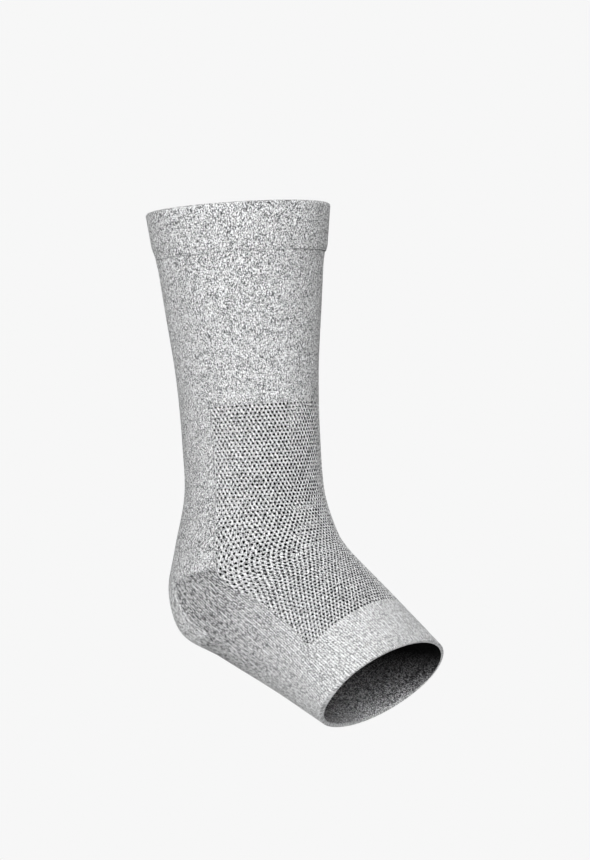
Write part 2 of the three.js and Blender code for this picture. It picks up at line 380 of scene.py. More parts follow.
class Wiring:
    """Adds shader nodes and joins their sockets."""

    def __init__(self, owner: bpy.types.Material | bpy.types.World) -> None:
        """Starts on the owner's node tree, emptied.

        Args:
            owner: A material or a world.
        """
        owner.use_nodes = True
        self.tree = owner.node_tree
        self.tree.nodes.clear()

    def add(self, kind: str, **settings: object) -> bpy.types.Node:
        """Adds a node.

        Args:
            kind: The node's type name.
            **settings: Values of the node's own properties.

        Returns:
            The node.
        """
        node = self.tree.nodes.new(kind)
        for name, value in settings.items():
            setattr(node, name, value)
        return node

    def feed(self, socket: Socket, value: object) -> None:
        """Links a socket to another one, or sets its value.

        Args:
            socket: A node's input.
            value: Another node's output, or a plain value.
        """
        if isinstance(value, bpy.types.NodeSocket):
            self.tree.links.new(value, socket)
        else:
            socket.default_value = value

    def result(self, kind: str, *values: object, **settings: object) -> Socket:
        """Adds a node and feeds its inputs in order.

        Args:
            kind: The node's type name.
            *values: What its first inputs get.
            **settings: Values of the node's own properties.

        Returns:
            The node's first output.
        """
        node = self.add(kind, **settings)
        for socket, value in zip(node.inputs, values):
            self.feed(socket, value)
        return node.outputs[0]

    def maths(self, operation: str, *values: object) -> Socket:
        """Returns the result of a Math node on up to three values."""
        return self.result("ShaderNodeMath", *values, operation=operation)

    def product(self, first: object, second: object) -> Socket:
        """Returns one value times another."""
        return self.maths("MULTIPLY", first, second)

    def line(self, value: object, slope: object, start: object) -> Socket:
        """Returns a value times a slope, added to a start."""
        return self.maths("MULTIPLY_ADD", value, slope, start)

    def weighed(self, first: object, second: object, share: float) -> Socket:
        """Returns the mean of two values, with the first one's share."""
        return self.line(first, share, self.product(second, 1 - share))

    def ranged(self, value: Socket, low: float, high: float, start: float, end: float) -> Socket:
        """Returns a value carried from the range low to high to another, and held inside it."""
        return self.result("ShaderNodeMapRange", value, low, high, start, end)

    def joined(self, x: object, y: object, z: object = 0.0) -> Socket:
        """Returns a vector made of three values."""
        return self.result("ShaderNodeCombineXYZ", x, y, z)

    def white(self, place: Socket) -> Socket:
        """Returns one random value for each whole-number place."""
        return self.result("ShaderNodeTexWhiteNoise", place, noise_dimensions="3D")

    def noise(
        self, place: Socket, scale: float, detail: float = 1.0, roughness: float = 0.5
    ) -> Socket:
        """Adds a soft random field.

        Args:
            place: Where it is read.
            scale: Its size, as the count of its waves in one unit.
            detail: How many finer layers it has.
            roughness: How strong the finer layers are.

        Returns:
            The field, between 0 and 1.
        """
        node = self.add("ShaderNodeTexNoise", noise_dimensions="3D")
        self.feed(node.inputs["Vector"], place)
        self.feed(node.inputs["Scale"], scale)
        self.feed(node.inputs["Detail"], detail)
        self.feed(node.inputs["Roughness"], roughness)
        return node.outputs["Fac"]

    def blend(self, share: Socket, first: object, second: object) -> Socket:
        """Mixes two colours.

        Args:
            share: The second colour's share.
            first: A socket, or the three values of a colour.
            second: The same.

        Returns:
            The mixed colour.
        """
        node = self.add("ShaderNodeMix", data_type="RGBA")
        self.feed(node.inputs["Factor"], share)
        for socket, value in ((node.inputs["A"], first), (node.inputs["B"], second)):
            whole = value if isinstance(value, bpy.types.NodeSocket) else (*value, 1.0)
            self.feed(socket, whole)
        return node.outputs["Result"]


class Structure(Enum):
    """How the stitches of a knit stand."""

    JERSEY = "jersey"
    RIB = "rib"
    MESH = "mesh"


@dataclass(frozen=True)
class PaintedLightFade:
    """Painted light and shade: how a cloth gets paler, and smoother, along one direction of the
    object.
    """

    direction: tuple[float, float, float]
    start: float
    end: float
    least: float
    most: float
    power: float = 1.0
    smoothing: float = 0.0


@dataclass(frozen=True)
class Stitches:
    """How high the yarn stands on its stitches, its ribs or its net, from 0 to 1."""

    leg_climb: float = 0.9
    side_weight: float = 0.55
    rib_weight: float = 0.8
    rib_middle: float = 0.50
    every_rib: float = 0.40
    second_rib: float = 0.20
    strand_weight: float = 0.65
    strand_slant: float = 0.25
    strand_lead: float = 0.5
    crossing_weight: float = 0.3
    crossing_floor: float = 0.2
    falling_phase: float = -0.75
    rising_phase: float = -0.25
    shin_courses: float = 30.0
    instep_courses: float = 120.0


@dataclass(frozen=True)
class MarledYarn:
    """A knit of pale yarn twisted with a dark one, so that each stitch has its own grey."""

    name: str
    structure: Structure
    stitches: Stitches = Stitches()
    dark: Colour = (0.045, 0.046, 0.048)
    middle: Colour = (0.50, 0.505, 0.51)
    pale: Colour = (0.93, 0.935, 0.94)
    dark_share: float = 0.30
    dark_reach: float = 0.35
    middle_reach: float = 0.2
    pale_end: float = 1.05
    contrast: float = 0.32
    plies: float = 1.6
    streaks: float = 0.05
    streak_scale: float = 0.9
    # Painted shade: how much of its colour the yarn keeps at the bottom of its grooves.
    painted_groove_shade: float = 0.45
    crown_start: float = 0.75
    relief: float = 0.001
    bump_strength: float = 0.8
    stitch_bump: float = 0.35
    loft: float = 1.2
    loft_scale: float = 1000.0
    # Painted light and shade along one direction of the object, if any.
    fade: PaintedLightFade | None = None
    roughness: float = 0.95
    sheen: float = 0.1
    specular: float = 0.2

    def build(self) -> bpy.types.Material:
        """Returns the yarn's material."""
        return KnitNodes(self).finish()


class KnitNodes(Wiring):
    """The nodes of one yarn's material, which reads the piece's knit map."""

    def __init__(self, yarn: MarledYarn) -> None:
        """Starts the material, with the counts of wales and courses.

        Args:
            yarn: The yarn.
        """
        self.material = bpy.data.materials.new(yarn.name)
        super().__init__(self.material)
        self.yarn = yarn
        split = self.add("ShaderNodeSeparateXYZ")
        self.feed(split.inputs[0], self.add("ShaderNodeUVMap", uv_map="knit").outputs[0])
        self.wale = split.outputs[0]
        self.course = split.outputs[1]
        self.place = self.add("ShaderNodeTexCoord").outputs["Object"]
        fold = self.maths("SUBTRACT", self.maths("FRACT", self.wale), 0.5)
        climb = self.maths("ABSOLUTE", fold)
        self.climb = self.line(climb, yarn.stitches.leg_climb, self.course)

    def finish(self) -> bpy.types.Material:
        """Adds the bump and the cloth's shader.

        Returns:
            The material.
        """
        yarn = self.yarn
        height = self._height()
        loft = self.product(self.noise(self.place, yarn.loft_scale), yarn.loft)
        bump = self.add("ShaderNodeBump")
        bump.inputs["Strength"].default_value = yarn.bump_strength
        bump.inputs["Distance"].default_value = yarn.relief
        self.feed(bump.inputs["Height"], self.line(height, yarn.stitch_bump, loft))
        shader = self.add("ShaderNodeBsdfPrincipled")
        shader.inputs["Roughness"].default_value = yarn.roughness
        shader.inputs["Specular IOR Level"].default_value = yarn.specular
        shader.inputs["Sheen Weight"].default_value = yarn.sheen
        self.feed(shader.inputs["Base Color"], self._painted_shade_and_light(self._colour(), height))
        self.feed(shader.inputs["Normal"], bump.outputs["Normal"])
        output = self.add("ShaderNodeOutputMaterial")
        self.feed(output.inputs["Surface"], shader.outputs[0])
        return self.material

    def _height(self) -> Socket:
        """Finds the height of the knit's surface.

        Returns:
            The height.
        """
        shape = self.yarn.stitches
        side = self._crown(self.product(self.wale, 2.0))
        stitch = self.weighed(side, self._crown(self.climb), shape.side_weight)
        if self.yarn.structure is Structure.RIB:
            return self.weighed(self._ribs(), stitch, shape.rib_weight)
        if self.yarn.structure is Structure.MESH:
            return self.weighed(self._strands(), stitch, shape.strand_weight)
        return stitch

    def _crown(self, count: Socket) -> Socket:
        """Returns a yarn's round profile: 0 at each whole count and 1 between two of them."""
        out = self.line(self.maths("FRACT", count), 2.0, -1.0)
        return self.maths("SUBTRACT", 1.0, self.product(out, out))

    def _ribs(self) -> Socket:
        """Raises the ribs, with every second groove the deeper one.

        Returns:
            Their height.
        """
        shape = self.yarn.stitches
        single = self.maths("COSINE", self.product(self.wale, 2 * math.pi))
        double = self.maths("COSINE", self.product(self.wale, math.pi))
        ridge = self.line(double, shape.second_rib, shape.rib_middle)
        return self.line(single, shape.every_rib, ridge)

    def _strands(self) -> Socket:
        """Raises the net's strands: the falling ones lead on the shin, the others below it.

        Returns:
            Their height.
        """
        shape = self.yarn.stitches
        lead = self.ranged(self.course, shape.shin_courses, shape.instep_courses, 0.0, 1.0)
        half = self.product(self.wale, 0.5)
        fall = self.line(self.course, -shape.strand_slant, half)
        rise = self.line(self.course, shape.strand_slant, half)
        falling = self._wave(fall, shape.falling_phase)
        rising = self._wave(rise, shape.rising_phase)
        led = self.line(self.maths("SUBTRACT", rising, falling), lead, falling)
        both = self.maths("ADD", rising, falling)
        crossing = self.line(both, shape.crossing_weight, shape.crossing_floor)
        return self.weighed(led, crossing, shape.strand_lead)

    def _wave(self, count: Socket, phase: float) -> Socket:
        """Returns a wave between 0 and 1 that repeats with each whole count."""
        angle = self.line(count, 2 * math.pi, 2 * math.pi * phase)
        return self.line(self.maths("COSINE", angle), 0.5, 0.5)

    def _cells(self, across: float, along: float) -> Socket:
        """Draws one random value for each cell of yarn.

        Args:
            across: How many cells there are to the wale.
            along: How many cells there are to the course.

        Returns:
            The values, from 0 to 1.
        """
        column = self.maths("FLOOR", self.product(self.wale, across))
        row = self.maths("FLOOR", self.product(self.climb, along))
        return self.white(self.joined(column, row, across))

    def _tone(self) -> Socket:
        """Mixes the grey of each stitch's leg, the finer plies on it and the longer streaks.

        Returns:
            The grey, with its middle at 0.5.
        """
        yarn = self.yarn
        least = 0.5 - (yarn.contrast + yarn.plies) / 2
        grey = self.line(self._cells(across=2.0, along=1.0), yarn.contrast, least)
        grey = self.line(self._cells(across=4.0, along=2.0), yarn.plies, grey)
        along = self.joined(self.product(self.wale, 0.5), self.course)
        streak = self.noise(along, yarn.streak_scale, detail=3.0, roughness=0.6)
        return self.line(self.maths("SUBTRACT", streak, 0.5), yarn.streaks, grey)

    def _colour(self) -> Socket:
        """Carries the grey to the yarn's dark, middle and pale colours.

        Returns:
            The colour.
        """
        yarn = self.yarn
        tone = self._tone()
        knee = yarn.dark_share + yarn.middle_reach
        shade = self.ranged(tone, yarn.dark_share - yarn.dark_reach, knee, 0.0, 1.0)
        bright = self.ranged(tone, knee, yarn.pale_end, 0.0, 1.0)
        return self.blend(bright, self.blend(shade, yarn.dark, yarn.middle), yarn.pale)

    def _painted_shade_and_light(self, colour: Socket, height: Socket) -> Socket:
        """Paints shade into the grooves, and paints light and shade along one direction where the
        yarn has a fade.

        Args:
            colour: The yarn's colour.
            height: The height of the knit's surface.

        Returns:
            The new colour.
        """
        fade = self.yarn.fade
        shaded = self.add("ShaderNodeVectorMath", operation="SCALE")
        self.feed(shaded.inputs[0], colour)
        # Painted shade: below crown_start of the height the colour darkens, most at the bottoms of
        # the grooves between stitches, ribs and strands.
        depth = self.ranged(height, 0.0, self.yarn.crown_start, self.yarn.painted_groove_shade, 1.0)
        smoothed = shaded.outputs[0]
        # Painted light and shade along the fade: the colour is scaled from least to most, and
        # blended towards the middle grey by the smoothing.
        if fade:
            share = self._painted_light_share(fade)
            depth = self.product(depth, self.line(share, fade.most - fade.least, fade.least))
            smooth = self.product(share, fade.smoothing)
            smoothed = self.blend(smooth, smoothed, self.yarn.middle)
        self.feed(shaded.inputs["Scale"], depth)
        return smoothed

    def _painted_light_share(self, fade: PaintedLightFade) -> Socket:
        """Finds how far along the painted light and shade each place is.

        Args:
            fade: The painted light and shade.

        Returns:
            The share, from 0 to 1.
        """
        along = self.add("ShaderNodeVectorMath", operation="DOT_PRODUCT")
        self.feed(along.inputs[0], self.place)
        self.feed(along.inputs[1], fade.direction)
        share = self.ranged(along.outputs["Value"], fade.start, fade.end, 0.0, 1.0)
        return self.maths("POWER", share, fade.power)


def deselect_all() -> None:
    """Leaves object mode's selection empty."""
    if bpy.context.object and bpy.context.object.mode != "OBJECT":
        bpy.ops.object.mode_set(mode="OBJECT")
    bpy.ops.object.select_all(action="DESELECT")


def make_active(piece: bpy.types.Object) -> None:
    """Selects one piece alone and makes it the active one.

    Args:
        piece: The piece.
    """
    deselect_all()
    piece.select_set(True)
    bpy.context.view_layer.objects.active = piece


@contextmanager
def edit_mode(piece: bpy.types.Object, select: str = "SELECT") -> Iterator[None]:
    """Keeps one piece alone in edit mode for the length of a with block.

    Args:
        piece: The piece.
        select: What is done to its selection first, SELECT or DESELECT.

    Yields:
        Nothing.
    """
    make_active(piece)
    bpy.ops.object.mode_set(mode="EDIT")
    bpy.ops.mesh.select_all(action=select)
    yield
    bpy.ops.object.mode_set(mode="OBJECT")


def read_numbers(items: bpy.types.bpy_prop_collection, key: str) -> Array:
    """Reads one whole number of each item of a mesh.

    Args:
        items: The mesh's faces or corners.
        key: The number's name.

    Returns:
        The numbers.
    """
    values = np.zeros(len(items), np.int32)
    items.foreach_get(key, values)
    return values


def read_vectors(items: bpy.types.bpy_prop_collection, key: str) -> Array:
    """Reads one vector of each item of a mesh.

    Args:
        items: The mesh's vertices or faces.
        key: The vector's name.

    Returns:
        The vectors, as rows of x, y and z.
    """
    values = np.zeros(len(items) * 3, np.float32)
    items.foreach_get(key, values)
    return values.reshape(-1, 3).astype(float)


def write_points(piece: bpy.types.Object, points: Array) -> None:
    """Moves the piece's vertices."""
    piece.data.vertices.foreach_set("co", points.astype(np.float32).ravel())
    piece.data.update()


def delete_faces(piece: bpy.types.Object, gone: Array) -> None:
    """Deletes the faces that are marked as gone.

    Args:
        piece: The piece.
        gone: True for each such face.
    """
    with edit_mode(piece, "DESELECT"):
        bpy.ops.mesh.select_mode(type="FACE")
    piece.data.polygons.foreach_set("select", gone)
    bpy.ops.object.mode_set(mode="EDIT")
    bpy.ops.mesh.delete(type="FACE")
    bpy.ops.object.mode_set(mode="OBJECT")


def write_knit_map(piece: bpy.types.Object, stitches: Array) -> None:
    """Stores the knit map, as the piece's only UV map.

    Args:
        piece: The piece.
        stitches: The counts of wales and courses at each vertex.
    """
    layers = piece.data.uv_layers
    if "knit" not in layers:
        layers.new(name="knit")
    for other in [each.name for each in layers if each.name != "knit"]:
        layers.remove(layers[other])
    corners = read_numbers(piece.data.loops, "vertex_index")
    layers["knit"].data.foreach_set("uv", stitches[corners].astype(np.float32).ravel())


def face_outwards(piece: bpy.types.Object, outward: Array) -> None:
    """Turns every face over if the faces don't look the way that the form does.

    Args:
        piece: The piece.
        outward: The form's outward direction at each vertex.
    """
    starts = read_numbers(piece.data.polygons, "loop_start")
    corners = read_numbers(piece.data.loops, "vertex_index")
    normals = read_vectors(piece.data.polygons, "normal")
    agreement = (normals * outward[corners[starts]]).sum(axis=1)
    if np.median(agreement) < 0:
        with edit_mode(piece):
            bpy.ops.mesh.flip_normals()


@dataclass
class KnitSheet:
    """A piece of knitted cloth, laid flat as a grid, draped on the form and given a wall."""

    form: SleeveForm
    outside: bpy.types.Material
    inside: bpy.types.Material
    name: str = "knit"
    node: str = "knit"
    slot: str = "knit"
    wall: float = 0.0016
    rise: float = 0.0
    row_step: float = 0.002
    turn_step: float = 1.5
    stretch: float = 1.1
    crease: float = 50.0
    trims: tuple[bpy.types.Object, ...] = ()
    piece: bpy.types.Object | None = field(default=None, init=False)

    @cached_property
    def rows(self) -> Array:
        """The distances of the grid's rows."""
        raise NotImplementedError

    @cached_property
    def columns(self) -> Array:
        """The turns of the grid's columns."""
        raise NotImplementedError

    @cached_property
    def flat_size(self) -> tuple[float, float, float]:
        """The knitted width, length and area of the piece before it is worn."""
        raise NotImplementedError

    def open_cells(self, turn: Array, distance: Array) -> Array:
        """Returns which cells of the grid are left open, by their middles."""
        return np.zeros(turn.shape, bool)

    def relief(self, turn: Array, distance: Array) -> Array:
        """Returns how far the cloth stands off the form, by place."""
        return np.full(turn.shape, self.rise)

    def wales(self, turn: Array, points: Array) -> Array:
        """Returns the count of wales at each place."""
        return turn / FULL_TURN * WALES_ROUND

    def knit_map(self, turn: Array, along: Array, points: Array) -> Array:
        """Returns the count of wales and of courses at each place."""
        return np.stack([self.wales(turn, points), along / COURSE_HEIGHT], axis=-1)

    def distance_at(self, along: Array) -> Array:
        """Returns the distance from the rim at places along the flat cloth."""
        return along

    def build(self) -> bpy.types.Object:
        """Makes the piece.

        Returns:
            The piece.
        """
        self.lay_flat()
        self.shape_flat()
        self.drape()
        self.close_seam()
        self.thicken()
        self.dress()
        self.declare()
        return self.piece

    def lay_flat(self) -> None:
        """Adds the flat grid, with turn across it and distance along it, as lengths."""
        columns = self.columns
        rows = self.rows
        deselect_all()
        bpy.ops.mesh.primitive_grid_add(
            x_subdivisions=len(columns) - 1, y_subdivisions=len(rows) - 1, size=1.0
        )
        self.piece = bpy.context.object
        self.piece.name = self.name
        self.piece.data.name = self.name
        self.piece.data.materials.append(self.outside)
        self.piece.data.materials.append(self.inside)
        places = read_vectors(self.piece.data.vertices, "co")
        across = np.rint((places[:, 0] + 0.5) * (len(columns) - 1)).astype(int)
        along = np.rint((places[:, 1] + 0.5) * (len(rows) - 1)).astype(int)
        places[:, 0] = flat_width(columns[across])
        places[:, 1] = rows[along]
        places[:, 2] = 0.0
        write_points(self.piece, places)

    def shape_flat(self) -> None:
        """Cuts the open cells out of the flat grid."""
        centres = read_vectors(self.piece.data.polygons, "center")
        gone = self.open_cells(turn_at(centres[:, 0]), centres[:, 1])
        if gone.any():
            delete_faces(self.piece, gone)

    def drape(self) -> None:
        """Moves the flat cloth to the form, and turns its outer face outwards."""
        flat = read_vectors(self.piece.data.vertices, "co")
        turn = turn_at(flat[:, 0])
        distance = self.distance_at(flat[:, 1])
        lift = self.relief(turn, distance) + flat[:, 2]
        face_outwards(self.piece, self.place(turn, flat[:, 1], distance, lift))

    def place(self, turn: Array, along: Array, distance: Array, lift: Array) -> Array:
        """Puts every point on the form and writes the knit map.

        Args:
            turn: The points' turns from the shin.
            along: Their places along the flat cloth.
            distance: Their distances from the rim.
            lift: How far they stand off the form.

        Returns:
            The form's outward directions at the points.
        """
        angle = self.form.settled(distance, turn)
        normal = self.form.outward(distance, angle)
        points = self.form.surface(distance, angle) + normal * lift[:, None]
        write_knit_map(self.piece, self.knit_map(turn, along, points))
        write_points(self.piece, points)
        return normal

    def close_seam(self) -> None:
        """Merges the first and last columns where they meet."""
        with edit_mode(self.piece):
            bpy.ops.mesh.remove_doubles(threshold=MERGE_DISTANCE)

    def thicken(self) -> None:
        """Gives the cloth its wall, inwards from the outer face."""
        wall = self.piece.modifiers.new("wall", "SOLIDIFY")
        wall.thickness = self.wall
        wall.offset = -1.0
        wall.material_offset = 1
        # Painted shade: the cut edges, the walls of the mesh's eyelets among them, take the dark
        # inside material, so the holes look shaded.
        wall.material_offset_rim = 1
        bpy.ops.object.modifier_apply(modifier=wall.name)

    def dress(self) -> None:
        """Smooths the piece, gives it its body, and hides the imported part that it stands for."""
        make_active(self.piece)
        bpy.ops.object.shade_smooth_by_angle(angle=math.radians(self.crease))
        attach(self.piece, BODY)
        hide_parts(self.node)

    def declare(self) -> None:
        """Says how large the cloth was knitted."""
        width, length, area = self.flat_size
        LOG.info("%s: knitted %.0f by %.0f mm", self.piece.name, width * 1000, length * 1000)


@dataclass
class LegTube(KnitSheet):
    """The plain knit of the leg, all round above the panel and down the back below it."""

    name: str = "leg_jersey"
    node: str = "leg_tube"
    slot: str = "plain_knit"
    band_lift: float = 0.0004
    band_reach: float = 0.006
    back_share: float = 0.46

    @cached_property
    def rows(self) -> Array:
        """The rows from the cuff to the heel seam."""
        form = self.form
        return spread([form.cuff_length, form.panel_distance, form.heel_seam], self.row_step)

    @cached_property
    def columns(self) -> Array:
        """The columns, all the way round."""
        edge = self.form.panel_angle
        return spread([-edge, edge, FULL_TURN - edge], self.turn_step)

    def open_cells(self, turn: Array, distance: Array) -> Array:
        """Leaves the mesh panel's place open."""
        return (distance > self.form.panel_distance) & (turn < self.form.panel_angle)

    def relief(self, turn: Array, distance: Array) -> Array:
        """Lifts the cloth where it runs out from under the band."""
        past = (distance - self.form.cuff_length) / self.band_reach
        return self.band_lift * (1 - smooth_step(past))

    @cached_property
    def flat_size(self) -> tuple[float, float, float]:
        """As wide as the leg relaxed and as long as to the heel, without the panel's place."""
        form = self.form
        width = form.girth(form.cuff_length) / self.stretch
        length = form.heel_seam - form.cuff_length
        above = form.panel_distance - form.cuff_length
        below = form.heel_seam - form.panel_distance
        return width, length, width * (above + below * self.back_share)


@dataclass
class HeelCup(KnitSheet):
    """The thick smooth pocket of the heel."""

    name: str = "heel_pocket"
    node: str = "heel_cup"
    slot: str = "heel_knit"
    wall: float = 0.0022
    side_gap: float = 0.25
    width_share: float = 0.95
    pocket_length: float = 1.55

    @cached_property
    def rows(self) -> Array:
        """The rows from the heel seam to the cup's end."""
        return spread([self.form.heel_seam, self.form.heel_cup_end], self.row_step)

    @cached_property
    def columns(self) -> Array:
        """The columns across the back of the heel."""
        edge = self.form.heel_cup_angle + self.side_gap
        return spread([edge, FULL_TURN - edge], self.turn_step)

    @cached_property
    def flat_size(self) -> tuple[float, float, float]:
        """As wide as the cup's share of the girth, and longer than the ankle's middle."""
        form = self.form
        share = 1 - form.heel_cup_angle / HALF_TURN
        girth = form.girth(form.heel_seam + form.heel_cup_length / 2)
        width = girth * share * self.width_share
        length = form.heel_cup_length * self.pocket_length
        return width, length, width * length


@dataclass
class FootTube(KnitSheet):
    """The ribbed knit of the sides and the sole, and all round in front of the panel."""

    name: str = "foot_rib_knit"
    node: str = "foot_tube"
    slot: str = "rib_knit"
    cloth_share: float = 0.55

    @cached_property
    def rows(self) -> Array:
        """The rows from the heel seam to the hem."""
        form = self.form
        lines = [form.heel_seam, form.heel_cup_end, form.panel_end, form.hem_start]
        return spread(lines, self.row_step)

    @cached_property
    def columns(self) -> Array:
        """The columns, all the way round."""
        edge = self.form.panel_angle
        heel = self.form.heel_cup_angle
        return spread([-edge, edge, heel, FULL_TURN - heel, FULL_TURN - edge], self.turn_step)

    def open_cells(self, turn: Array, distance: Array) -> Array:
        """Leaves the places of the mesh panel and the heel cup open.

        Args:
            turn: The turns of the cells' middles.
            distance: Their distances from the rim.

        Returns:
            True for each open cell.
        """
        form = self.form
        panel = (distance < form.panel_end) & (turn < form.panel_angle)
        behind = np.abs(turn - HALF_TURN) < HALF_TURN - form.heel_cup_angle
        return panel | (behind & (distance < form.heel_cup_end))

    def wales(self, turn: Array, points: Array) -> Array:
        """Returns the count of wales that run straight along the foot."""
        return self.form.foot_wales(turn, points)

    @cached_property
    def flat_size(self) -> tuple[float, float, float]:
        """As wide as the foot relaxed, without the places of the panel and the heel."""
        form = self.form
        width = form.girth(form.hem_start) / self.stretch
        length = form.hem_start - form.heel_seam
        return width, length, width * length * self.cloth_share


@dataclass
class MeshPanel(KnitSheet):
    """The openwork panel: rows of eyelets, each row set half a place aside from the last."""

    name: str = "eyelet_mesh"
    node: str = "front_mesh_panel"
    slot: str = "mesh_knit"
    wall: float = 0.0006
    crease: float = 180.0
    side_gap: float = 0.2
    even_turn: float = -50.0
    path_points: int = 200
    eyelets_across: int = 50
    eyelet_row: float = 0.0020
    strand: float = 0.0004
    bend: float = 1 / 6
    whole_cell: float = 1.5
    side_hole: float = 0.0006
    shin_hole: float = 0.00085
    smallest: float = 0.85
    largest: float = 1.1
    hole_sink: float = 0.00025

    @cached_property
    def rows(self) -> Array:
        """One line between each two rows of eyelets."""
        distance, path = self._path
        return np.linspace(distance[0], distance[-1], round(path[-1] / self.eyelet_row) + 1)

    @cached_property
    def columns(self) -> Array:
        """Two lines for each eyelet across."""
        edge = self.form.panel_angle - self.side_gap
        return np.linspace(-edge, edge, 2 * self.eyelets_across + 1)

    def distance_at(self, along: Array) -> Array:
        """Spaces the rows evenly over the side of the instep.

        Args:
            along: Places along the flat cloth.

        Returns:
            Their distances from the rim.
        """
        distance, path = self._path
        share = (along - distance[0]) / (distance[-1] - distance[0])
        return np.interp(share * path[-1], path, distance)

    def knit_map(self, turn: Array, along: Array, points: Array) -> Array:
        """Counts two wales for each eyelet across and two courses for each row of them.

        Args:
            turn: Turns from the shin.
            along: Places along the flat cloth.
            points: Points of the panel, not used.

        Returns:
            The counts of wales and courses.
        """
        left, top, pitch, height = self._grid
        wales = (flat_width(turn) - left) / pitch
        return np.stack([wales, 2 * (along - top) / height], axis=-1)

    def shape_flat(self) -> None:
        """Turns the flat grid into a net: bricks, then hexagons, then a hole in each."""
        self._join_bricks()
        self._bend_strands()
        self._open_holes()

    @cached_property
    def _path(self) -> tuple[Array, Array]:
        """Distances down the panel, and the length of cloth to each at one turn."""
        form = self.form
        distance = np.linspace(form.panel_distance, form.panel_end, self.path_points)
        line = form.surface(distance, np.full(distance.shape, self.even_turn))
        steps = np.linalg.norm(np.diff(line, axis=0), axis=1)
        return distance, np.concatenate([[0.0], np.cumsum(steps)])

    @cached_property
    def _grid(self) -> tuple[float, float, float, float]:
        """The flat grid's first column and first row, and the steps between them."""
        across = flat_width(self.columns[:2])
        along = self.rows[:2]
        return across[0], along[0], across[1] - across[0], along[1] - along[0]

    def _join_bricks(self) -> None:
        """Joins cells in pairs, each row half a brick aside from the last."""
        left, top, pitch, height = self._grid
        last = 2 * self.eyelets_across
        with edit_mode(self.piece, "DESELECT"):
            bpy.ops.mesh.select_mode(type="EDGE")
            net = bmesh.from_edit_mesh(self.piece.data)
            for edge in net.edges:
                first, second = (corner.co for corner in edge.verts)
                middle = (first + second) / 2
                upright = abs(first.x - second.x) < pitch / 4
                column = round((middle.x - left) / pitch)
                row = int((middle.y - top) / height)
                edge.select = upright and 0 < column < last and (column + row) % 2 == 1
            bmesh.update_edit_mesh(self.piece.data)
            bpy.ops.mesh.dissolve_edges(use_verts=False)

    def _bend_strands(self) -> None:
        """Moves the points between rows up and down in turn, so that bricks become hexagons."""
        left, top, pitch, height = self._grid
        points = read_vectors(self.piece.data.vertices, "co")
        column = np.rint((points[:, 0] - left) / pitch).astype(int)
        row = np.rint((points[:, 1] - top) / height).astype(int)
        inner = (row > 0) & (row < row.max()) & (column > 0) & (column < column.max())
        sign = np.where((column + row) % 2 == 0, 1.0, -1.0)
        points[:, 1] += np.where(inner, sign * height * self.bend, 0.0)
        write_points(self.piece, points)

    def _open_holes(self) -> None:
        """Insets every whole hexagon, rounds the inset to an eyelet and opens it."""
        _, _, pitch, height = self._grid
        rng = np.random.default_rng(HOLE_SEED)
        with edit_mode(self.piece, "DESELECT"):
            bpy.ops.mesh.select_mode(type="FACE")
            net = bmesh.from_edit_mesh(self.piece.data)
            for face in net.faces:
                face.select = face.calc_area() > self.whole_cell * pitch * height
            bmesh.update_edit_mesh(self.piece.data)
            bpy.ops.mesh.inset(thickness=self.strand, depth=0.0, use_individual=True)
            net = bmesh.from_edit_mesh(self.piece.data)
            for face in net.faces:
                if face.select:
                    self._round_hole(face, rng.uniform(self.smallest, self.largest))
            bmesh.update_edit_mesh(self.piece.data)
            bpy.ops.mesh.delete(type="FACE")

    def _round_hole(self, face: bmesh.types.BMFace, size: float) -> None:
        """Makes a face round and sinks it, larger near the shin.

        Args:
            face: The face.
            size: Its own size, as a share.
        """
        centre = face.calc_center_median()
        near_shin = math.cos(math.radians(turn_at(centre.x)))
        radius = mix(self.side_hole, self.shin_hole, near_shin) * size
        for corner in face.verts:
            corner.co = centre + (corner.co - centre).normalized() * radius
            corner.co.z = -self.hole_sink

    @cached_property
    def flat_size(self) -> tuple[float, float, float]:
        """As wide as half the leg at the panel's top, as the net is drawn open."""
        form = self.form
        width = form.girth(form.panel_distance) / 2
        length = form.panel_end - form.panel_distance
        return width, length, width * length


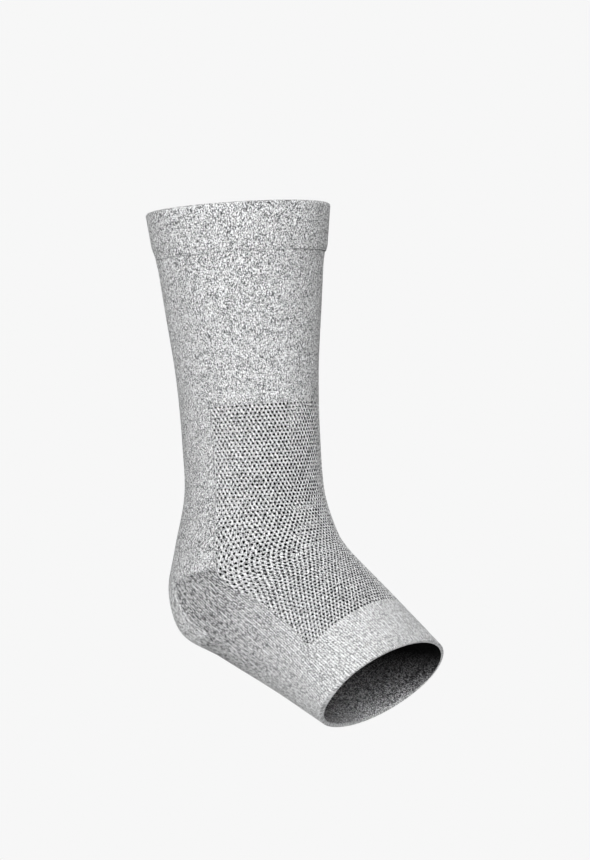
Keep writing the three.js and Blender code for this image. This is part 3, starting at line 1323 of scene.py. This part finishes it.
@dataclass
class WeltBand(KnitSheet):
    """A doubled band: cloth folded over on itself into a flat tube round the sleeve."""

    name: str = "cuff_welt"
    node: str = "cuff_band"
    slot: str = "band_knit"
    wall: float = 0.0030
    rise: float = 0.0016
    start: float = 0.0008
    end: float = 0.0267
    fold_points: int = 7
    turn_step: float = 2.0
    top_round: float = 0.0013
    low_round: float = 0.0
    waviness: float = 0.00015
    waves: tuple[tuple[int, float, float], ...] = ((3, 1.0, 0.6), (7, 0.6, 2.0))
    front_taper: float = 0.0025
    back_taper: float = 0.009
    front_pressed: float = 0.85
    back_pressed: float = 0.6
    pressed_reach: float = 0.25

    @cached_property
    def profile(self) -> Array:
        """The band's closed section as distance and lift, from the lower outer edge."""
        straight = spread([self.start + self.top_round, self.end - self.low_round], self.row_step)
        outer = np.stack([straight[::-1], np.full(straight.shape, self.rise)], axis=-1)
        inner = np.stack([straight, np.full(straight.shape, self.rise - self.wall)], axis=-1)
        rim = self.edge(straight[0], -self.top_round)
        hem = self.edge(straight[-1], self.low_round)[::-1]
        return np.vstack([outer, rim, inner, hem, outer[:1]])

    def edge(self, line: float, reach: float) -> Array:
        """Draws the round of one edge of the section, from its outer face inwards.

        Args:
            line: The distance at which the band's flat faces end.
            reach: How far the rounded edge goes beyond it, and 0 for a square edge.

        Returns:
            The points as distance and lift.
        """
        count = self.fold_points if reach else 0
        bends = np.radians(np.linspace(0.0, HALF_TURN, count + 2)[1:-1])
        half = self.wall / 2
        lift = self.rise - half + half * np.cos(bends)
        return np.stack([line + reach * np.sin(bends), lift], axis=-1)

    @cached_property
    def rows(self) -> Array:
        """The distance of each line of the section, measured along the cloth."""
        steps = np.linalg.norm(np.diff(self.profile, axis=0), axis=1)
        return np.concatenate([[0.0], np.cumsum(steps)])

    @cached_property
    def columns(self) -> Array:
        """The columns, all the way round."""
        return spread([0.0, FULL_TURN], self.turn_step)

    def drape(self) -> None:
        """Folds the flat band into its section, and lays it round the form."""
        flat = read_vectors(self.piece.data.vertices, "co")
        turn = turn_at(flat[:, 0])
        along = flat[:, 1]
        section = self.profile
        lines = self.rows
        distance = np.interp(along, lines, section[:, 0])
        lift = np.interp(along, lines, section[:, 1])
        for count, strength, offset in self.waves:
            lift += self.waviness * strength * np.sin(count * np.radians(turn) + offset)
        lift = mix(self.kept_face, lift, self.fullness(turn, distance))
        self.place(turn, along, distance, lift)

    @cached_property
    def kept_face(self) -> float:
        """The lift of the face that stays where the wall gets thinner or thicker."""
        return self.rise - self.wall

    def fullness(self, turn: Array, distance: Array) -> Array:
        """Presses the lower edge to the leg, most of all behind.

        Args:
            turn: Turns from the shin.
            distance: Distances from the rim.

        Returns:
            How much of the wall is left.
        """
        behind = (1 - np.cos(np.radians(turn))) / 2
        taper = mix(self.front_taper, self.back_taper, behind)
        share = smooth_step(behind / self.pressed_reach)
        pressed = mix(self.front_pressed, self.back_pressed, share)
        return mix(1.0, pressed, smooth_step((distance - self.end + taper) / taper))

    def lined(self, section: Array) -> Array:
        """Returns which strips of the section show the lining."""
        return np.zeros(len(section) - 1, bool)

    def thicken(self) -> None:
        """Turns the closed tube's faces outwards, as the fold already gives it its wall."""
        strips = np.repeat(self.lined(self.profile), len(self.columns) - 1)
        self.piece.data.polygons.foreach_set("material_index", strips.astype(np.int32))
        with edit_mode(self.piece):
            bpy.ops.mesh.normals_make_consistent(inside=False)

    @cached_property
    def flat_size(self) -> tuple[float, float, float]:
        """As the band lies folded, relaxed."""
        width = self.form.girth((self.start + self.end) / 2) / self.stretch
        length = self.end - self.start
        return width, length, width * length


@dataclass
class ToeHem(WeltBand):
    """The thin bound edge of the toe opening."""

    name: str = "toe_binding"
    node: str = "toe_hem"
    slot: str = "hem_knit"
    wall: float = 0.0024
    rise: float = 0.0
    row_step: float = 0.0012
    top_round: float = 0.0
    low_round: float = 0.0004
    waviness: float = 0.0
    thick_turn: float = 115.0
    thick_reach: float = 30.0
    thin: float = 0.85
    thick: float = 1.6

    def __post_init__(self) -> None:
        """Sets the band's place from the form."""
        self.start = self.form.hem_start
        self.end = self.form.length

    def wales(self, turn: Array, points: Array) -> Array:
        """Returns the foot's own wales, so that its ribs run on to the edge."""
        return self.form.foot_wales(turn, points)

    @cached_property
    def kept_face(self) -> float:
        """The lift of the outer face, which runs on from the foot's."""
        return self.rise

    def fullness(self, turn: Array, distance: Array) -> Array:
        """Returns how much thicker the edge is at the two corners of the sole."""
        off = (np.abs(wrapped(turn)) - self.thick_turn) / self.thick_reach
        return mix(self.thin, self.thick, np.exp(-(off**2)))

    def lined(self, section: Array) -> Array:
        """Returns the strips that lie flat against the inside."""
        inner = self.rise - self.wall + LINING_MARGIN
        return (section[:-1, 1] < inner) & (section[1:, 1] < inner)

    def declare(self) -> None:
        """Logs nothing for the binding."""


@dataclass(frozen=True)
class Light:
    """One soft square light that looks at the ankle, by its direction and its watts."""

    name: str
    azimuth: float
    elevation: float
    power: float


@dataclass(frozen=True)
class Studio:
    """The pale floor, the soft light and the camera."""

    background: float = 0.93
    floor_drop: float = 0.35
    floor_size: float = 40.0
    azimuth: float = -51.5
    elevation: float = 2.5
    camera_distance: float = 1.5
    camera_right: float = 0.0212
    camera_up: float = 0.055
    lens: float = 115.3
    sensor: float = 36.0
    world_light: float = 0.33
    light_size: float = 0.9
    light_distance: float = 1.4
    lights: tuple[Light, ...] = (
        Light("key", azimuth=-60.0, elevation=20.0, power=20.5),
        Light("front", azimuth=-20.0, elevation=45.0, power=3.5),
        Light("floor_glow", azimuth=-60.0, elevation=-65.0, power=7.0),
        Light("heel_side", azimuth=-140.0, elevation=5.0, power=2.8),
        Light("far_side", azimuth=100.0, elevation=25.0, power=7.0),
    )

    @property
    def pale(self) -> tuple[float, float, float, float]:
        """The floor's and the background's colour."""
        return (self.background, self.background, self.background, 1.0)

    def towards(self, azimuth: float, elevation: float) -> Vector:
        """Points from the object to a place round it.

        Args:
            azimuth: The place's direction round the object, from the toes' side.
            elevation: Its height above the horizon.

        Returns:
            The direction, one unit long.
        """
        turn = math.radians(azimuth)
        rise = math.radians(elevation)
        flat = math.cos(rise)
        return Vector((math.sin(turn) * flat, -math.cos(turn) * flat, math.sin(rise)))

    def hang(self, name: str, data: bpy.types.ID, place: Vector, back: Vector) -> bpy.types.Object:
        """Puts a light or a camera in the scene.

        Args:
            name: Its name.
            data: The light or camera itself.
            place: Where it stands.
            back: The direction opposite to the one it looks in.

        Returns:
            The object.
        """
        thing = bpy.data.objects.new(name, data)
        bpy.context.scene.collection.objects.link(thing)
        thing.location = place
        thing.rotation_euler = (-back).to_track_quat("-Z", "Y").to_euler()
        return thing

    def build(self) -> None:
        """Makes the floor, the world, the lights and the camera."""
        bpy.context.scene.view_settings.view_transform = "Standard"
        self._floor()
        self._world()
        for light in self.lights:
            data = bpy.data.lights.new(light.name, "AREA")
            data.energy = light.power
            data.size = self.light_size
            back = self.towards(light.azimuth, light.elevation)
            self.hang(light.name, data, back * self.light_distance, back)
        self._camera()

    def _floor(self) -> None:
        """Adds the pale floor, far below the held sleeve."""
        deselect_all()
        place = (0.0, 0.0, -self.floor_drop)
        bpy.ops.mesh.primitive_plane_add(size=self.floor_size, location=place)
        floor = bpy.context.object
        floor.name = "studio_floor"
        material = bpy.data.materials.new("pale_floor")
        wiring = Wiring(material)
        glow = wiring.result("ShaderNodeEmission", self.pale)
        wiring.feed(wiring.add("ShaderNodeOutputMaterial").inputs["Surface"], glow)
        floor.data.materials.append(material)
        floor.visible_diffuse = False
        floor.visible_glossy = False
        floor.visible_shadow = False

    def _world(self) -> None:
        """Makes an even pale world that lights the sleeve more softly than it shows."""
        world = bpy.data.worlds.new("studio")
        bpy.context.scene.world = world
        wiring = Wiring(world)
        seen = wiring.result("ShaderNodeBackground", self.pale)
        soft = wiring.result("ShaderNodeBackground", (1.0, 1.0, 1.0, 1.0), self.world_light)
        by_camera = wiring.add("ShaderNodeLightPath").outputs["Is Camera Ray"]
        chosen = wiring.result("ShaderNodeMixShader", by_camera, soft, seen)
        wiring.feed(wiring.add("ShaderNodeOutputWorld").inputs["Surface"], chosen)

    def _camera(self) -> None:
        """Adds the camera at the photograph's angle."""
        back = self.towards(self.azimuth, self.elevation)
        turn = math.radians(self.azimuth)
        right = Vector((math.cos(turn), math.sin(turn), 0.0))
        up = back.cross(right)
        data = bpy.data.cameras.new("camera")
        data.lens = self.lens
        data.sensor_width = self.sensor
        place = right * self.camera_right + up * self.camera_up + back * self.camera_distance
        bpy.context.scene.camera = self.hang("camera", data, place, back)


@dataclass
class AnkleSleeve:
    """The whole sleeve, as its pieces of cloth."""

    form: SleeveForm = field(default_factory=SleeveForm)

    def build(self) -> list[bpy.types.Object]:
        """Makes the yarns and every piece, the binding before the cloth that it trims.

        Returns:
            The pieces.
        """
        jersey = MarledYarn("jersey_yarn", Structure.JERSEY).build()
        band = MarledYarn("band_yarn", Structure.JERSEY).build()
        net = MarledYarn(
            "mesh_yarn", Structure.MESH, middle=(0.53, 0.535, 0.54), dark_share=0.15, painted_groove_shade=0.35
        ).build()
        heel = MarledYarn(
            "heel_yarn", Structure.JERSEY, dark_share=0.17, contrast=0.9, plies=1.8, painted_groove_shade=0.6
        ).build()
        rib = MarledYarn(
            "rib_yarn",
            Structure.RIB,
            middle=(0.60, 0.605, 0.61),
            pale=(0.80, 0.805, 0.81),
            dark_share=0.2,
            contrast=1.8,
            painted_groove_shade=0.15,
            # Painted light: the ribs get paler towards the toes, where the front of the foot takes
            # the light, and smoother there.
            fade=PaintedLightFade(
                direction=(0.0, -1.0, 0.0),
                start=0.0,
                end=0.085,
                least=0.88,
                most=1.25,
                smoothing=0.4,
            ),
        ).build()
        lining = MarledYarn(
            "lining_yarn",
            Structure.JERSEY,
            dark=(0.01, 0.01, 0.011),
            middle=(0.035, 0.035, 0.036),
            pale=(0.16, 0.16, 0.163),
            streaks=0.0,
            contrast=0.1,
            plies=1.3,
            # Painted light and shade: the inside is nearly black higher in the sleeve, where shade
            # falls, and far paler low down near the toe opening, where light comes in.
            fade=PaintedLightFade(
                direction=(0.04, 0.0, -1.0),
                start=0.063,
                end=0.103,
                least=0.05,
                most=13.0,
                power=2.0,
            ),
            sheen=0.0,
            specular=0.05,
        ).build()
        binding = ToeHem(self.form, rib, lining).build()
        sheets = [
            WeltBand(self.form, band, lining),
            LegTube(self.form, jersey, lining),
            MeshPanel(self.form, net, lining),
            HeelCup(self.form, heel, lining),
            FootTube(self.form, rib, lining, trims=(binding,)),
        ]
        return [binding, *(sheet.build() for sheet in sheets)]


def main() -> None:
    """Builds the studio and the sleeve, and reports each piece."""
    logging.basicConfig(level=logging.INFO, format="%(message)s")
    Studio().build()
    for piece in AnkleSleeve().build():
        LOG.info("%s: %d faces", piece.name, len(piece.data.polygons))


if __name__ == "__main__":
    main()
